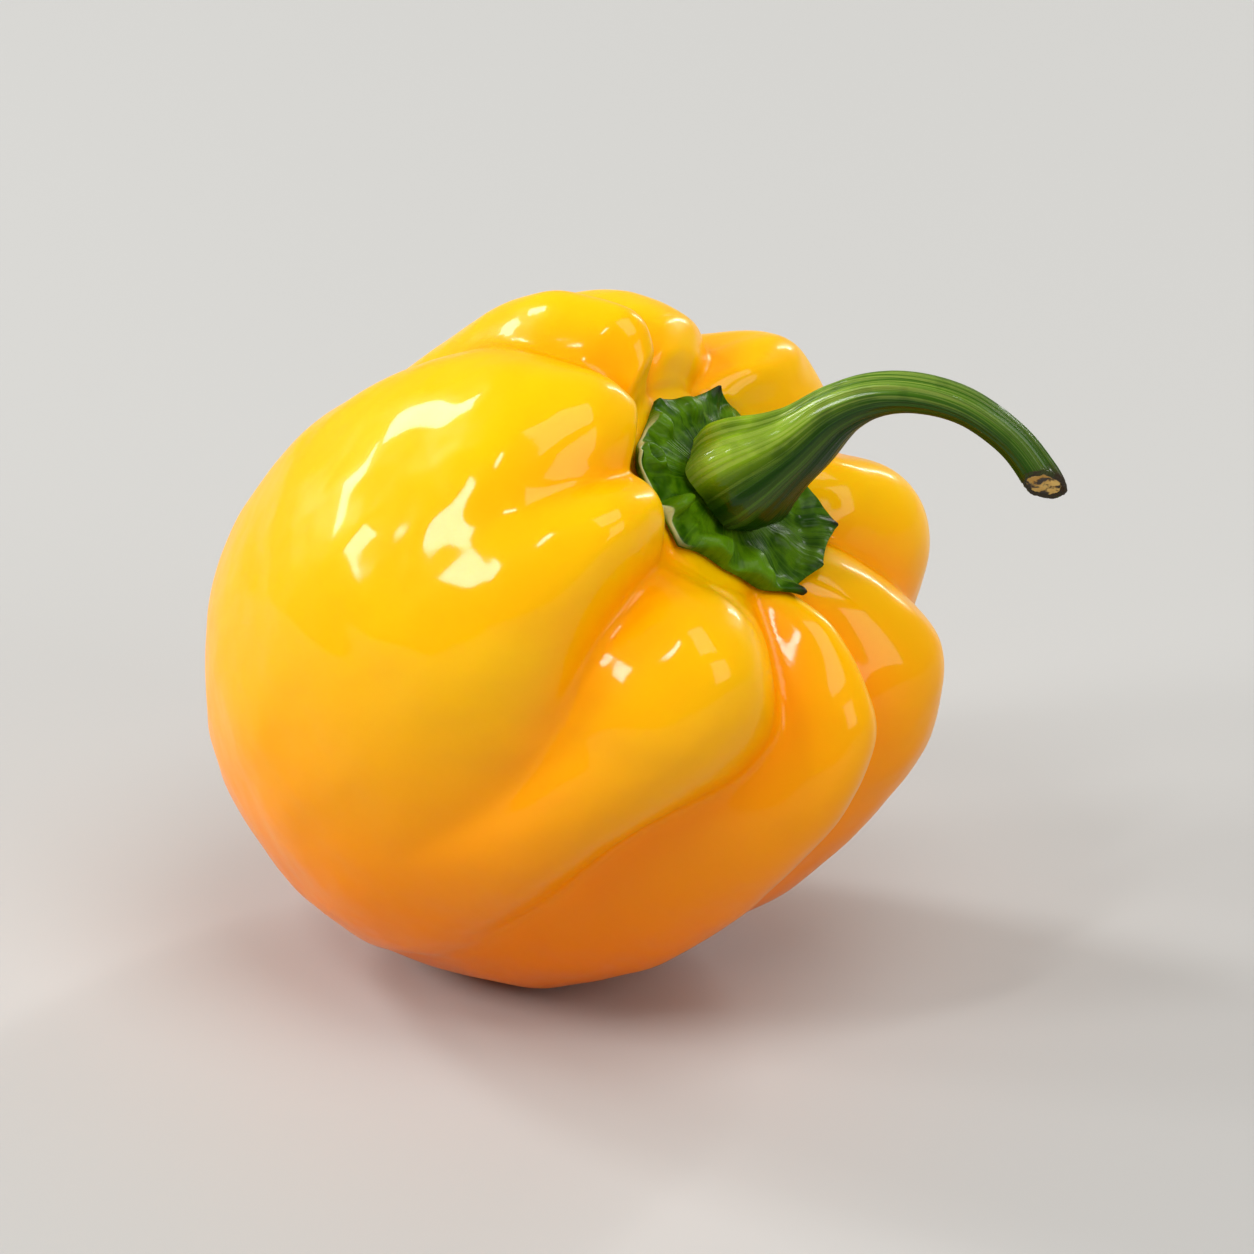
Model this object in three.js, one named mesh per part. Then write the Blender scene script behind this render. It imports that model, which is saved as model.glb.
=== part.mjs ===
// A scotch bonnet pepper, picked ripe and yellow, lying on its side with its stem in the air.
// Millimetres, +Z up. The origin is under the middle of the pepper, on the surface it rests on.
// Each piece is shaped in the pepper's own frame: Z runs up its stem from the seat of the calyx,
// X points to the side that lies lowest, and angles turn about Z from X. One group then lays it down.

import * as THREE from 'three';
import { mergeVertices } from 'three/addons/utils/BufferGeometryUtils.js';

// How the pepper lies
const STEM_DIRECTION = new THREE.Vector3(0.687, -0.343, 0.641);
const LOW_SIDE = new THREE.Vector3(0.574, -0.286, -0.767);
const SEAT_PLACE = new THREE.Vector3(7.676, -6.609, 41.42);
const GAP = 0.35;

// The pod's outline along the tops of its lobes and along the bottoms of its creases: distance from
// the axis, height over the calyx's seat
const LOBE_OUTLINE = [
  [0, -2.2], [5, -2.2], [7.8, -1.9], [9.5, 0.5], [13, 3.3], [18.8, 3], [23.3, -2.7],
  [25.2, -10.5], [25.7, -18.5], [24.8, -27], [21.8, -36], [15.6, -43.6], [8, -48.6], [0, -50],
];
const CREASE_OUTLINE = [
  [0, -2.2], [5, -2.2], [7.6, -2.4], [9.2, -1.9], [12, -1.2], [16.2, -2], [19.6, -6],
  [21, -12], [21.4, -19.5], [20.8, -27.2], [18.3, -35], [13, -41.8], [6.8, -47], [0, -50],
];
const POD_TURNS = 84;
const POD_LEVELS = 38;
const POD_LEAN = 3.5;
const POD_LEAN_TO = 16;
const LEAN_SPAN = [0.2, 0.42];

// The creases between the lobes: angles at the calyx, on the shoulder and at the belly, depths on the
// shoulder and at the belly as a share of the way between the two outlines, and the levels (0 at the
// calyx, 1 at the blossom end) between which each fades
const CREASES = [
  { at: [47, 46, 40], depth: [1.0, 0.8], fade: [0.5, 0.9] },
  { at: [92, 90, 90], depth: [1.05, 0.9], fade: [0.5, 0.9] },
  { at: [138, 137, 136], depth: [1.0, 0.9], fade: [0.5, 0.9] },
  { at: [174, 171, 166], depth: [0.85, 0.5], fade: [0.4, 0.75] },
  { at: [205, 196, 183], depth: [1.0, 0.8], fade: [0.45, 0.75] },
  { at: [237, 237, 244], depth: [0.75, 0.4], fade: [0.36, 0.62] },
  { at: [279, 267, 284], depth: [1.15, 1.1], fade: [0.48, 0.76] },
  { at: [338, 325, 312], depth: [1.15, 1.2], fade: [0.55, 0.9] },
  { at: [363, 358, 355], depth: [1.1, 1.05], fade: [0.5, 0.92] },
];
const TO_SHOULDER = [0.2, 0.38];
const TO_BELLY = [0.38, 0.6];
const DEPTH_CHANGE = [0.34, 0.56];
const LOBE_ROUNDNESS = 3;
const CREASE_SOFTNESS = 0.1;
const LOBES_START = [0.08, 0.2];
const LOBES_END = [0.93, 1];

// Broad swells and hollows of the flesh: where, how wide (degrees and levels), how high
const SWELLS = [
  { at: 170, level: 0.45, wide: 60, tall: 0.22, height: -1.1 },
  { at: 294, level: 0.42, wide: 16, tall: 0.14, height: 0.5 },
  { at: 220, level: 0.55, wide: 26, tall: 0.2, height: 0.6 },
  { at: 200, level: 0.5, wide: 14, tall: 0.16, height: 1.0 },
  { at: 181, level: 0.42, wide: 10, tall: 0.1, height: 0.5 },
  { at: 176, level: 0.66, wide: 14, tall: 0.1, height: -1.4 },
  { at: 154, level: 0.34, wide: 14, tall: 0.12, height: -2.0 },
  { at: 108, level: 0.33, wide: 10, tall: 0.1, height: -0.8 },
  { at: 300, level: 0.25, wide: 24, tall: 0.07, height: -1.1 },
  { at: 0, level: 0.62, wide: 34, tall: 0.12, height: 1.2 },
  { at: 0, level: 0.88, wide: 50, tall: 0.08, height: -0.8 },
];

// The calyx: a thin toothed plate in the dip of the pod, its corners drawn out to short points
const CALYX_CORNERS = [
  { at: 18, radius: 9.6 }, { at: 46, radius: 10.9 }, { at: 93, radius: 8.9 },
  { at: 131, radius: 8.9 }, { at: 178, radius: 7.8 }, { at: 234, radius: 9.6 },
  { at: 281, radius: 8.1 }, { at: 314, radius: 7.0 }, { at: 349, radius: 10.0 },
];
const CALYX_STEPS = 9;
const CALYX_LEVELS = 14;
const CALYX_THICKNESS = 1.0;
const CALYX_EDGE_SAG = 0.35;
const EDGE_FULLNESS = 0.4;
const UPPER_SHARE = 0.7;
const FOLD_RISE = [0, 0.6];

// How far the plate drapes into the creases, and the level that it stays inside
const CALYX_DRAPE = 0.7;
const CALYX_REACH = 0.34;
const SEAT_STEPS = 24;

// Folds that stand up from the plate round the foot of the stem
const CALYX_FOLDS = [
  { at: 25, radius: 6.9, wide: 10, long: 1.5, height: 0.8 },
  { at: 68, radius: 6.8, wide: 10, long: 1.3, height: 1.0 },
  { at: 118, radius: 6.3, wide: 11, long: 1.2, height: 0.9 },
  { at: 160, radius: 6.2, wide: 9, long: 1.2, height: 1.1 },
  { at: 196, radius: 6.7, wide: 9, long: 1.3, height: 0.8 },
  { at: 231, radius: 7.0, wide: 8, long: 1.4, height: 1.5 },
  { at: 270, radius: 7.0, wide: 7, long: 1.6, height: 1.5 },
  { at: 302, radius: 6.2, wide: 8, long: 0.9, height: 0.8 },
  { at: 343, radius: 6.8, wide: 9, long: 1.5, height: 1.2 },
];

// The stem's middle line, from its foot on the calyx to the cut end, and its radius on the way
const STEM_LINE = [
  [0.3, 0, -0.5], [0.3, 0, 2], [0.5, 0.9, 6], [0.2, 1.4, 10], [0.9, 1.7, 13.4], [2.7, 1.7, 16.5],
  [5.3, 1.5, 19.1], [8.7, 1.1, 20.8], [11.7, 0.6, 21.3], [13.5, 0.2, 21.15],
];
const STEM_RADII = [4.75, 4.15, 3.15, 2.5, 2.05, 1.76, 1.58, 1.47, 1.38, 1.32, 1.3, 1.36, 1.5];
const STEM_SIDES = 24;
const STEM_STEPS = 34;
const STEM_RIBS = 6;
const RIB_AT_FOOT = 0.07;
const RIB_AT_TIP = 0.035;
const RIB_CHANGE = [0, 0.5];
const FOOT_ROUNDING = 0.09;
const FOOT_TUCK = 0.14;

const DEGREE = Math.PI / 180;

function smooth(value, from, to) {
  const part = Math.min(Math.max((value - from) / (to - from), 0), 1);
  return part * part * (3 - 2 * part);
}

function mix(from, to, part) {
  return from + (to - from) * part;
}

function turnBetween(from, to) {
  return (((to - from) % 360) + 360) % 360;
}

const outlineCurve = (points) => new THREE.SplineCurve(points.map((point) => new THREE.Vector2(...point)));
const lobeOutline = outlineCurve(LOBE_OUTLINE);
const creaseOutline = outlineCurve(CREASE_OUTLINE);
const stemPoints = STEM_LINE.map((point) => new THREE.Vector3(...point));
const stemLine = new THREE.CatmullRomCurve3(stemPoints, false, 'catmullrom', 0.5);
const stemRadii = new THREE.SplineCurve(
  STEM_RADII.map((radius, index) => new THREE.Vector2(index / (STEM_RADII.length - 1), radius)),
);

function creaseAngle({ at: [calyx, shoulder, belly] }, level) {
  const towardShoulder = mix(calyx, shoulder, smooth(level, ...TO_SHOULDER));
  return mix(towardShoulder, belly, smooth(level, ...TO_BELLY));
}

function creaseDepth({ depth, fade }, level) {
  return mix(...depth, smooth(level, ...DEPTH_CHANGE)) * (1 - smooth(level, ...fade));
}

// How much of a crease's depth reaches a point that lies a part of the way to the next crease
function creaseShare(part) {
  const share = 1 + CREASE_SOFTNESS - Math.hypot(part, CREASE_SOFTNESS);
  return Math.max(share, 0) ** LOBE_ROUNDNESS;
}

function lobeDepth(angle, level) {
  for (let index = 0; index < CREASES.length; index += 1) {
    const crease = CREASES[index];
    const next = CREASES[(index + 1) % CREASES.length];
    const start = creaseAngle(crease, level);
    const width = turnBetween(start, creaseAngle(next, level));
    const part = turnBetween(start, angle) / width;
    if (part < 1) {
      return creaseDepth(crease, level) * creaseShare(part) + creaseDepth(next, level) * creaseShare(1 - part);
    }
  }
  return 0;
}

function swellHeight(angle, level) {
  return SWELLS.reduce((sum, swell) => {
    const aside = turnBetween(swell.at - 180, angle) - 180;
    const off = (aside / swell.wide) ** 2 + ((level - swell.level) / swell.tall) ** 2;
    return sum + swell.height * Math.exp(-off);
  }, 0);
}

// A point of the pod's skin; the creases can be made shallower, to a share of their depth
function podPoint(angle, level, depthShare = 1) {
  const along = lobeOutline.getTangent(level);
  const outward = new THREE.Vector2(Math.max(-along.y, 0), along.x).normalize();
  const free = smooth(level, ...LOBES_START) * (1 - smooth(level, ...LOBES_END));
  const inward = lobeDepth(angle, level) * depthShare * free;
  const place = lobeOutline.getPoint(level).lerp(creaseOutline.getPoint(level), inward);
  const { x: radius, y: height } = place.addScaledVector(outward, swellHeight(angle, level) * free);
  const lean = POD_LEAN * smooth(level, ...LEAN_SPAN);
  return new THREE.Vector3(
    radius * Math.cos(angle * DEGREE) + lean * Math.cos(POD_LEAN_TO * DEGREE),
    radius * Math.sin(angle * DEGREE) + lean * Math.sin(POD_LEAN_TO * DEGREE),
    height,
  );
}

// Height of the seat that the calyx drapes over, at an angle and a distance from the axis
function seatHeight(angle, radius) {
  let low = 0;
  let high = CALYX_REACH;
  let place;
  for (let step = 0; step < SEAT_STEPS; step += 1) {
    const middle = (low + high) / 2;
    place = podPoint(angle, middle, CALYX_DRAPE);
    if (Math.hypot(place.x, place.y) < radius) {
      low = middle;
    } else {
      high = middle;
    }
  }
  return place.z;
}

// A closed skin: a ball's points moved to pointAt(angle in degrees, level from top pole to bottom)
function skin(turns, levels, pointAt) {
  const geometry = new THREE.SphereGeometry(1, turns, levels);
  const { position, uv } = geometry.attributes;
  for (let index = 0; index < position.count; index += 1) {
    const point = pointAt(uv.getX(index) * 360, 1 - uv.getY(index));
    position.setXYZ(index, point.x, point.y, point.z);
  }
  return closed(geometry);
}

function closed(geometry) {
  geometry.deleteAttribute('normal');
  geometry.deleteAttribute('uv');
  const merged = mergeVertices(geometry, 1e-4);
  merged.computeVertexNormals();
  return merged;
}

// Where the flesh would pass through the surface below it is pressed flat against it
function restOnSurface(point) {
  const up = new THREE.Vector3(0, 0, 1).applyQuaternion(layDown.clone().invert());
  const below = Math.min(point.dot(up) + SEAT_PLACE.z, 0);
  return point.addScaledVector(up, -below);
}

function makePod() {
  return skin(POD_TURNS, POD_LEVELS, (angle, level) => restOnSurface(podPoint(angle, level)));
}

// The calyx's rim runs nearly straight from each corner to the next
function calyxRim(turn) {
  const count = CALYX_CORNERS.length;
  const place = (turn / 360) * count;
  const index = Math.floor(place) % count;
  const [from, to] = [CALYX_CORNERS[index], CALYX_CORNERS[(index + 1) % count]].map(
    ({ at, radius }) => new THREE.Vector2(Math.cos(at * DEGREE), Math.sin(at * DEGREE)).multiplyScalar(radius),
  );
  const part = place - Math.floor(place);
  const rim = from.lerp(to, part);
  return rim.multiplyScalar(1 - (CALYX_EDGE_SAG / rim.length()) * Math.sin(part * Math.PI));
}

function foldHeight(point) {
  const angle = Math.atan2(point.y, point.x) / DEGREE;
  return CALYX_FOLDS.reduce((sum, fold) => {
    const aside = turnBetween(fold.at - 180, angle) - 180;
    const off = (aside / fold.wide) ** 2 + ((point.length() - fold.radius) / fold.long) ** 2;
    return sum + fold.height * Math.exp(-off * off);
  }, 0);
}

function calyxPoint(turn, level) {
  const rim = calyxRim(turnBetween(0, turn));
  const flat = rim.clone().multiplyScalar(Math.sin(level * Math.PI));
  const body = Math.abs(Math.cos(level * Math.PI)) ** EDGE_FULLNESS * CALYX_THICKNESS;
  const angle = Math.atan2(rim.y, rim.x) / DEGREE;
  const floor = seatHeight(angle, flat.length()) + GAP + (1 - UPPER_SHARE) * CALYX_THICKNESS;
  const upper = UPPER_SHARE * body + foldHeight(flat) * smooth(body, ...FOLD_RISE);
  const height = floor + (level < 0.5 ? upper : (UPPER_SHARE - 1) * body);
  return new THREE.Vector3(flat.x, flat.y, height);
}

function makeCalyx() {
  return skin(CALYX_CORNERS.length * CALYX_STEPS, CALYX_LEVELS, calyxPoint);
}

function stemRadius(part, angle) {
  const plain = stemRadii.getPoint(part).y;
  const tuck = 1 - FOOT_TUCK * (1 - smooth(part, 0, FOOT_ROUNDING)) ** 2;
  const rib = mix(RIB_AT_FOOT, RIB_AT_TIP, smooth(part, ...RIB_CHANGE)) * Math.cos(STEM_RIBS * angle);
  return plain * tuck * (1 + rib);
}

function makeStem() {
  const geometry = new THREE.CylinderGeometry(1, 1, 1, STEM_SIDES, STEM_STEPS);
  const { position } = geometry.attributes;
  for (let index = 0; index < position.count; index += 1) {
    const [x, y, z] = [position.getX(index), position.getY(index), position.getZ(index)];
    const part = y + 0.5;
    const angle = Math.atan2(x, z);
    const along = stemLine.getTangentAt(part);
    const side = new THREE.Vector3(0, 1, 0).cross(along).normalize();
    const across = along.clone().cross(side);
    const radius = Math.hypot(x, z) < 0.5 ? 0 : stemRadius(part, angle);
    const point = stemLine
      .getPointAt(part)
      .addScaledVector(side, radius * Math.cos(angle))
      .addScaledVector(across, radius * Math.sin(angle));
    position.setXYZ(index, point.x, point.y, point.z);
  }
  return closed(geometry);
}

// Turns the pepper's own frame to the way it lies
function lyingTurn() {
  const z = STEM_DIRECTION.clone().normalize();
  const x = LOW_SIDE.clone().addScaledVector(z, -LOW_SIDE.dot(z)).normalize();
  const y = z.clone().cross(x);
  return new THREE.Quaternion().setFromRotationMatrix(new THREE.Matrix4().makeBasis(x, y, z));
}

const layDown = lyingTurn();

function piece(name, geometry, color, roughness) {
  const mesh = new THREE.Mesh(geometry, new THREE.MeshStandardMaterial({ color, roughness, metalness: 0 }));
  mesh.name = name;
  return mesh;
}

const group = new THREE.Group();
group.quaternion.copy(layDown);
group.position.copy(SEAT_PLACE);
group.add(piece('pod', makePod(), '#ffc400', 0.18));
group.add(piece('calyx', makeCalyx(), '#3f7a1e', 0.5));
group.add(piece('stem', makeStem(), '#4c8a1a', 0.4));

export default group;
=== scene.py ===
# A ripe yellow scotch bonnet pepper, picked and lying on its side: its glossy lobed pod, the toothed
# green calyx in the dip of its shoulder, the hooked stem with its cut end, and the blossom scar.
# The pepper's own frame is in millimetres: Z runs up the stem from the calyx's seat, X points to the
# side that lies lowest, and angles turn about Z from X. LYING takes it to the row's frame, in metres.

import bisect
import functools
import math

import bmesh
import bpy
from mathutils import Matrix, Vector, noise


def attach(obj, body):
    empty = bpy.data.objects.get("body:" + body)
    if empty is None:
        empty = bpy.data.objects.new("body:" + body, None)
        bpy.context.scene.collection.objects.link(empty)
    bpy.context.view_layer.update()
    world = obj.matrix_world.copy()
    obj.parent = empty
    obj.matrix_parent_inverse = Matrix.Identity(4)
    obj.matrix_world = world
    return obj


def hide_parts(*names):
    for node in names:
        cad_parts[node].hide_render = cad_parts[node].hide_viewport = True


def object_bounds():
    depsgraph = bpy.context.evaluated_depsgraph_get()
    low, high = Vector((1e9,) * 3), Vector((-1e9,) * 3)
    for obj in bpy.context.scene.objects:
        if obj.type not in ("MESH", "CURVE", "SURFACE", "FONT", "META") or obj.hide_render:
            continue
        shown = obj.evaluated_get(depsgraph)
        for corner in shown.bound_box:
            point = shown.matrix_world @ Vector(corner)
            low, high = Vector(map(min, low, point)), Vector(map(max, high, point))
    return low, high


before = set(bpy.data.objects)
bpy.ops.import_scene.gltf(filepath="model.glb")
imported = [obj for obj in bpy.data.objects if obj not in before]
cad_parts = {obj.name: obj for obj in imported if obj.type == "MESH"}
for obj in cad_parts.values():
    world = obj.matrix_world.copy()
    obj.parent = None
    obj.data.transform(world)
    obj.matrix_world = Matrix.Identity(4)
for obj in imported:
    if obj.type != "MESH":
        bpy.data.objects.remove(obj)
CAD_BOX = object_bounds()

bl_info = {
    "name": "Scotch Bonnet Pepper",
    "version": (1, 0, 0),
    "blender": (4, 5, 0),
    "location": "View3D > Sidebar > Pepper",
    "description": "Builds a ripe scotch bonnet pepper lying on its side",
    "category": "Object",
}

MM = 0.001

# How the pepper lies
STEM_DIRECTION = Vector((0.687, -0.343, 0.641))
LOW_SIDE = Vector((0.574, -0.286, -0.767))
SEAT_PLACE = Vector((7.676, -6.609, 41.42))

# How far over the pod's skin the calyx lies, how far it drapes into the creases as a share of their
# depth, the level that it stays inside, and how many steps its seat is measured in
CALYX_GAP = 0.12
CALYX_DRAPE = 0.7
CALYX_REACH = 0.34
SEAT_STEPS = 60

# The blossom scar stands this far out of the pod's end, and reaches this far in
SCAR_RISE = 0.22
SCAR_ROOT = 0.4

# The stub in the middle of the scar: height as a share of the scar's, half width as a share of it
STUB_RISE = 0.8
STUB_WIDTH = 0.3

# The cut end: how deep it is hollowed, how far it slopes and to which side, how far back all of it
# lies, where on the stem the slope starts, and how far the edge draws in from where
CUT_HOLLOW = 0.25
CUT_SLOPE = 0.7
CUT_FACES = 275
CUT_BACK = 1.1
CUT_START = 0.93
CUT_LIP = 0.06
CUT_LIP_START = 0.985

# The pith: its radius as a share of the stem's, how far it stands over and under its seat, how far
# its middle is domed, and how broad its bumps are
PITH_SHARE = 0.86
PITH_OVER = 0.1
PITH_UNDER = -0.2
PITH_DOME = 0.12
PITH_BUMP_SIZE = 0.5

# The pod's outline along the tops of its lobes and along the bottoms of its creases: distance from the
# axis, height over the calyx's seat
LOBE_OUTLINE = [
    (0, -2.2), (5, -2.2), (7.8, -1.9), (9.5, 0.5), (13.0, 3.3), (18.8, 3.0), (23.3, -2.7),
    (25.2, -10.5), (25.7, -18.5), (24.8, -27), (21.8, -36), (15.6, -43.6), (8, -48.6), (0, -50),
]
CREASE_OUTLINE = [
    (0, -2.2), (5, -2.2), (7.6, -2.4), (9.2, -1.9), (12.0, -1.2), (16.2, -2.0), (19.6, -6.0),
    (21.0, -12), (21.4, -19.5), (20.8, -27.2), (18.3, -35), (13, -41.8), (6.8, -47), (0, -50),
]
POD_LEAN = 3.5
POD_LEAN_TO = 16
LEAN_SPAN = (0.2, 0.42)

# Creases: angles at the calyx, on the shoulder and at the belly, depths on the shoulder and at the
# belly as a share of the way from the lobe's outline to the crease's, and the levels (0 at the calyx,
# 1 at the blossom end) between which each fades
CREASES = [
    ((47, 46, 40), (1.0, 0.8), (0.5, 0.9)),
    ((92, 90, 90), (1.05, 0.9), (0.5, 0.9)),
    ((138, 137, 136), (1.0, 0.9), (0.5, 0.9)),
    ((174, 171, 166), (0.85, 0.5), (0.4, 0.75)),
    ((205, 196, 183), (1.0, 0.8), (0.45, 0.75)),
    ((237, 237, 244), (0.75, 0.4), (0.36, 0.62)),
    ((279, 267, 284), (1.15, 1.1), (0.48, 0.76)),
    ((338, 325, 312), (1.15, 1.2), (0.55, 0.9)),
    ((363, 358, 355), (1.1, 1.05), (0.5, 0.92)),
]
TO_SHOULDER = (0.2, 0.38)
TO_BELLY = (0.38, 0.6)
DEPTH_CHANGE = (0.34, 0.56)
LOBE_ROUNDNESS = 3.0
LOBES_START = (0.08, 0.2)
LOBES_END = (0.93, 1)

# Broad swells and hollows of the flesh: angle, level, how wide in degrees, how tall in levels, height
SWELLS = [
    (170, 0.45, 60, 0.22, -1.1),
    (294, 0.42, 16, 0.14, 0.5),
    (220, 0.55, 26, 0.2, 0.6),
    (200, 0.5, 14, 0.16, 1.0),
    (181, 0.42, 10, 0.1, 0.5),
    (176, 0.66, 14, 0.1, -1.4),
    (154, 0.34, 14, 0.12, -2.0),
    (108, 0.33, 10, 0.1, -0.8),
    (300, 0.25, 24, 0.07, -1.1),
    (0, 0.62, 34, 0.12, 1.2),
    (0, 0.88, 50, 0.08, -0.8),
]

# Bumps of the pod's skin: how broad, how strong, and a seed for the noise
SKIN_BUMPS = [(13, 1.0, 3), (6.5, 0.8, 8), (3, 0.25, 5)]

# The skin's lengthwise ripple: how broad, how strong; and how far the uneven skin lies under the outline
RIPPLE_SIZE = 0.22
RIPPLE_SHARE = 0.6
SKIN_SINK = 1.1

# The calyx's corners: angle, distance from the axis, and how dry and dark the tip is
CALYX_CORNERS = [
    (18, 9.6, 0.2), (46, 10.9, 1), (93, 8.9, 0.5), (131, 8.9, 1), (178, 7.8, 0), (234, 9.6, 0),
    (281, 8.1, 0.2), (314, 7.0, 0), (349, 10.0, 1),
]

# Folds that stand up round the stem's foot: angle, distance, half widths in degrees before and after
# that angle, half length, height. A narrow side is the free edge of a flap.
CALYX_FOLDS = [
    (24, 7.2, 13, 9, 1.6, 0.5),
    (68, 6.8, 10, 10, 1.3, 0.9),
    (118, 6.7, 11, 8, 1.2, 0.8),
    (158, 6.3, 9, 7, 1.1, 0.9),
    (198, 6.7, 9, 6, 1.2, 0.9),
    (263, 6.5, 6, 5, 1.2, 1.6),
    (309, 6.2, 19, 4, 1.2, 1.1),
    (340, 7.0, 14, 4, 1.7, 1.1),
]

# A small curled ring of the calyx: angle, distance, radius, half width, height
CALYX_CURL = (228, 7.2, 0.85, 0.38, 0.7)

# Shares of the calyx's thickness over and under its middle, how round its rim is, the half width of a
# vein, how broad the crinkles are, and the distances between which veins and crinkles start
PLATE_OVER = 0.7
PLATE_UNDER = 0.3
RIM_ROUNDNESS = 0.4
VEIN_WIDTH = 0.3
CRINKLE_SIZE = 1.3
VEINS_START = (5, 6)
CRINKLES_START = (4.5, 6)

# The tips are dry over this share of the way to the next corner, and between these shares of the way
# out to the rim. The pale line, a painted highlight on the rim's lit side, lies in the outer band, round
# one angle, and fades over a span.
DRY_SPREAD = 0.12
DRY_TIPS = (0.88, 0.97)
RIM_HIGHLIGHT_BAND = (0.984, 0.992)
RIM_HIGHLIGHT_FACES = 240
RIM_HIGHLIGHT_SPAN = (30, 50)

# The stem's middle line from its foot to the cut end, and its radius on the way
STEM_LINE = [
    (0.3, 0, -0.5), (0.3, 0, 2.0), (0.5, 0.9, 6), (0.2, 1.4, 10), (0.9, 1.7, 13.4), (2.7, 1.7, 16.5),
    (5.3, 1.5, 19.1), (8.7, 1.1, 20.8), (11.7, 0.6, 21.3), (13.5, 0.2, 21.15),
]
STEM_RADII = [4.75, 4.15, 3.15, 2.5, 2.05, 1.76, 1.58, 1.47, 1.38, 1.32, 1.3, 1.36, 1.5]

# Ridges along the stem: angle, how high as a share of the radius, half width in degrees
STEM_RIDGES = [
    (20, 0.1, 15), (82, 0.12, 16), (136, 0.15, 17), (186, 0.12, 13), (236, 0.24, 14), (300, 0.14, 18),
]

# How round a ridge's top is, the height that leaves the radius as it is, the height that the material
# takes as full, what is left of the ridges toward the cut, and how far they twist on the way, in degrees
RIDGE_ROUNDNESS = 0.35
RIDGE_MIDDLE = 0.09
RIDGE_FULL = 0.16
RIDGE_LEFT = 0.65
RIDGE_TWIST = 14

# The side of the stem that gets painted light, a lighter green, how far its foot draws in and up to
# where, and the share of its levels that closes each end
STEM_LIT_SIDE = 195
FOOT_TUCK = 0.14
FOOT_END = 0.09
STEM_CLOSING = 0.06

# How finely the pieces are divided round and along: the calyx's round is for each corner
CALYX_STEPS = (38, 110)
STEM_STEPS = (144, 240)
PITH_STEPS = (64, 40)
SCAR_STEPS = (48, 32)

# Index of refraction of the waxy coat, which is glossier than a plain skin
WAX_IOR = 2.4

# Soft lights that look at the pepper: name, direction, distance, size, share of the key light's power
LIGHTS = [
    ("key_softbox", (-0.77, -0.38, 0.52), 0.8, (0.12, 0.17), 1.0),
    ("side_softbox", (-0.67, 0.47, 0.57), 0.8, (0.13, 0.17), 1.15),
    ("window_left", (-0.83, 0.47, 0.32), 0.8, (0.14, 0.17), 1.0),
    ("window_low", (-0.93, 0.0, 0.35), 0.8, (0.14, 0.14), 0.85),
    ("window_high", (-0.4, -0.42, 0.81), 0.8, (0.05, 0.16), 0.5),
    ("rim_strip", (0.5, 0.78, 0.4), 0.8, (0.06, 0.4), 1.4),
    ("top_softbox", (0.2, -0.3, 0.93), 1.0, (0.6, 0.6), 2.7),
    ("fill_softbox", (0.7, -0.75, 0.5), 1.0, (0.5, 0.5), 1.6),
]
ROOM_COLOUR = (1.0, 0.95, 0.86, 1.0)
ROOM_STRENGTH = 0.28
FLOOR_REACH = 3.0


def smooth(value, low, high):
    """0 below low, 1 above high, and an even curve between."""
    part = min(max((value - low) / (high - low), 0.0), 1.0)
    return part * part * (3 - 2 * part)


def mix(start, end, part):
    return start + (end - start) * part


def turn_between(start, end):
    """Degrees from start round to end, 0 to 360."""
    return (end - start) % 360.0


def angle_apart(start, end):
    """Degrees from start to end the short way, -180 to 180."""
    return (end - start + 180.0) % 360.0 - 180.0


def round_from(angle, radius=1.0):
    """The flat point at that angle and distance from the axis."""
    turn = math.radians(angle)
    return Vector((math.cos(turn), math.sin(turn))) * radius


def spline(points, part):
    """A point on the smooth line through points, at part 0 to 1 of the way by count."""
    last = len(points) - 1
    place = min(max(part, 0.0), 1.0) * last
    index = min(int(place), last - 1)
    w = place - index
    p0, p1 = Vector(points[max(index - 1, 0)]), Vector(points[index])
    p2, p3 = Vector(points[index + 1]), Vector(points[min(index + 2, last)])
    v0, v1 = (p2 - p0) / 2, (p3 - p1) / 2
    return (2 * p1 - 2 * p2 + v0 + v1) * w**3 + (3 * p2 - 3 * p1 - 2 * v0 - v1) * w**2 + v0 * w + p1


def spline_along(points, part):
    """The direction of that line."""
    step = 0.0001
    return (spline(points, part + step) - spline(points, part - step)).normalized()


def lying_matrix():
    """From the pepper's own frame in millimetres to the row's frame in metres."""
    z = STEM_DIRECTION.normalized()
    x = (LOW_SIDE - z * LOW_SIDE.dot(z)).normalized()
    turn = Matrix((x, z.cross(x), z)).transposed().to_4x4()
    return Matrix.Scale(MM, 4) @ Matrix.Translation(SEAT_PLACE) @ turn


LYING = lying_matrix()
UPWARD = (LYING.to_3x3().inverted() @ Vector((0, 0, 1))).normalized()


def bumpy(point, size, seed):
    """Smooth unevenness from -1 to 1 with bumps of about that size."""
    return noise.noise(Vector(point) / size + Vector((seed, 0, 0)))


def ball_skin(name, steps, marks, point_at):
    """A closed piece: a ball's points moved to point_at(angle, level), which also gives the marks,
    numbers that the material reads. Level is 0 at one pole and 1 at the other."""
    bm = bmesh.new()
    bmesh.ops.create_uvsphere(bm, u_segments=steps[0], v_segments=steps[1], radius=1.0)
    layers = [bm.verts.layers.float.new(each) for each in marks]
    lay = bm.verts.layers.float_vector.new("lay")
    for vertex in bm.verts:
        angle = math.degrees(math.atan2(vertex.co.y, vertex.co.x)) % 360.0
        level = round(math.acos(min(max(vertex.co.z, -1.0), 1.0)) / math.pi, 5)
        point, values = point_at(angle, level)
        vertex.co = LYING @ point
        vertex[lay] = (*round_from(angle), level)
        for layer, value in zip(layers, values):
            vertex[layer] = value
    for face in bm.faces:
        face.smooth = True
    return finished(name, bm)


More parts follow.
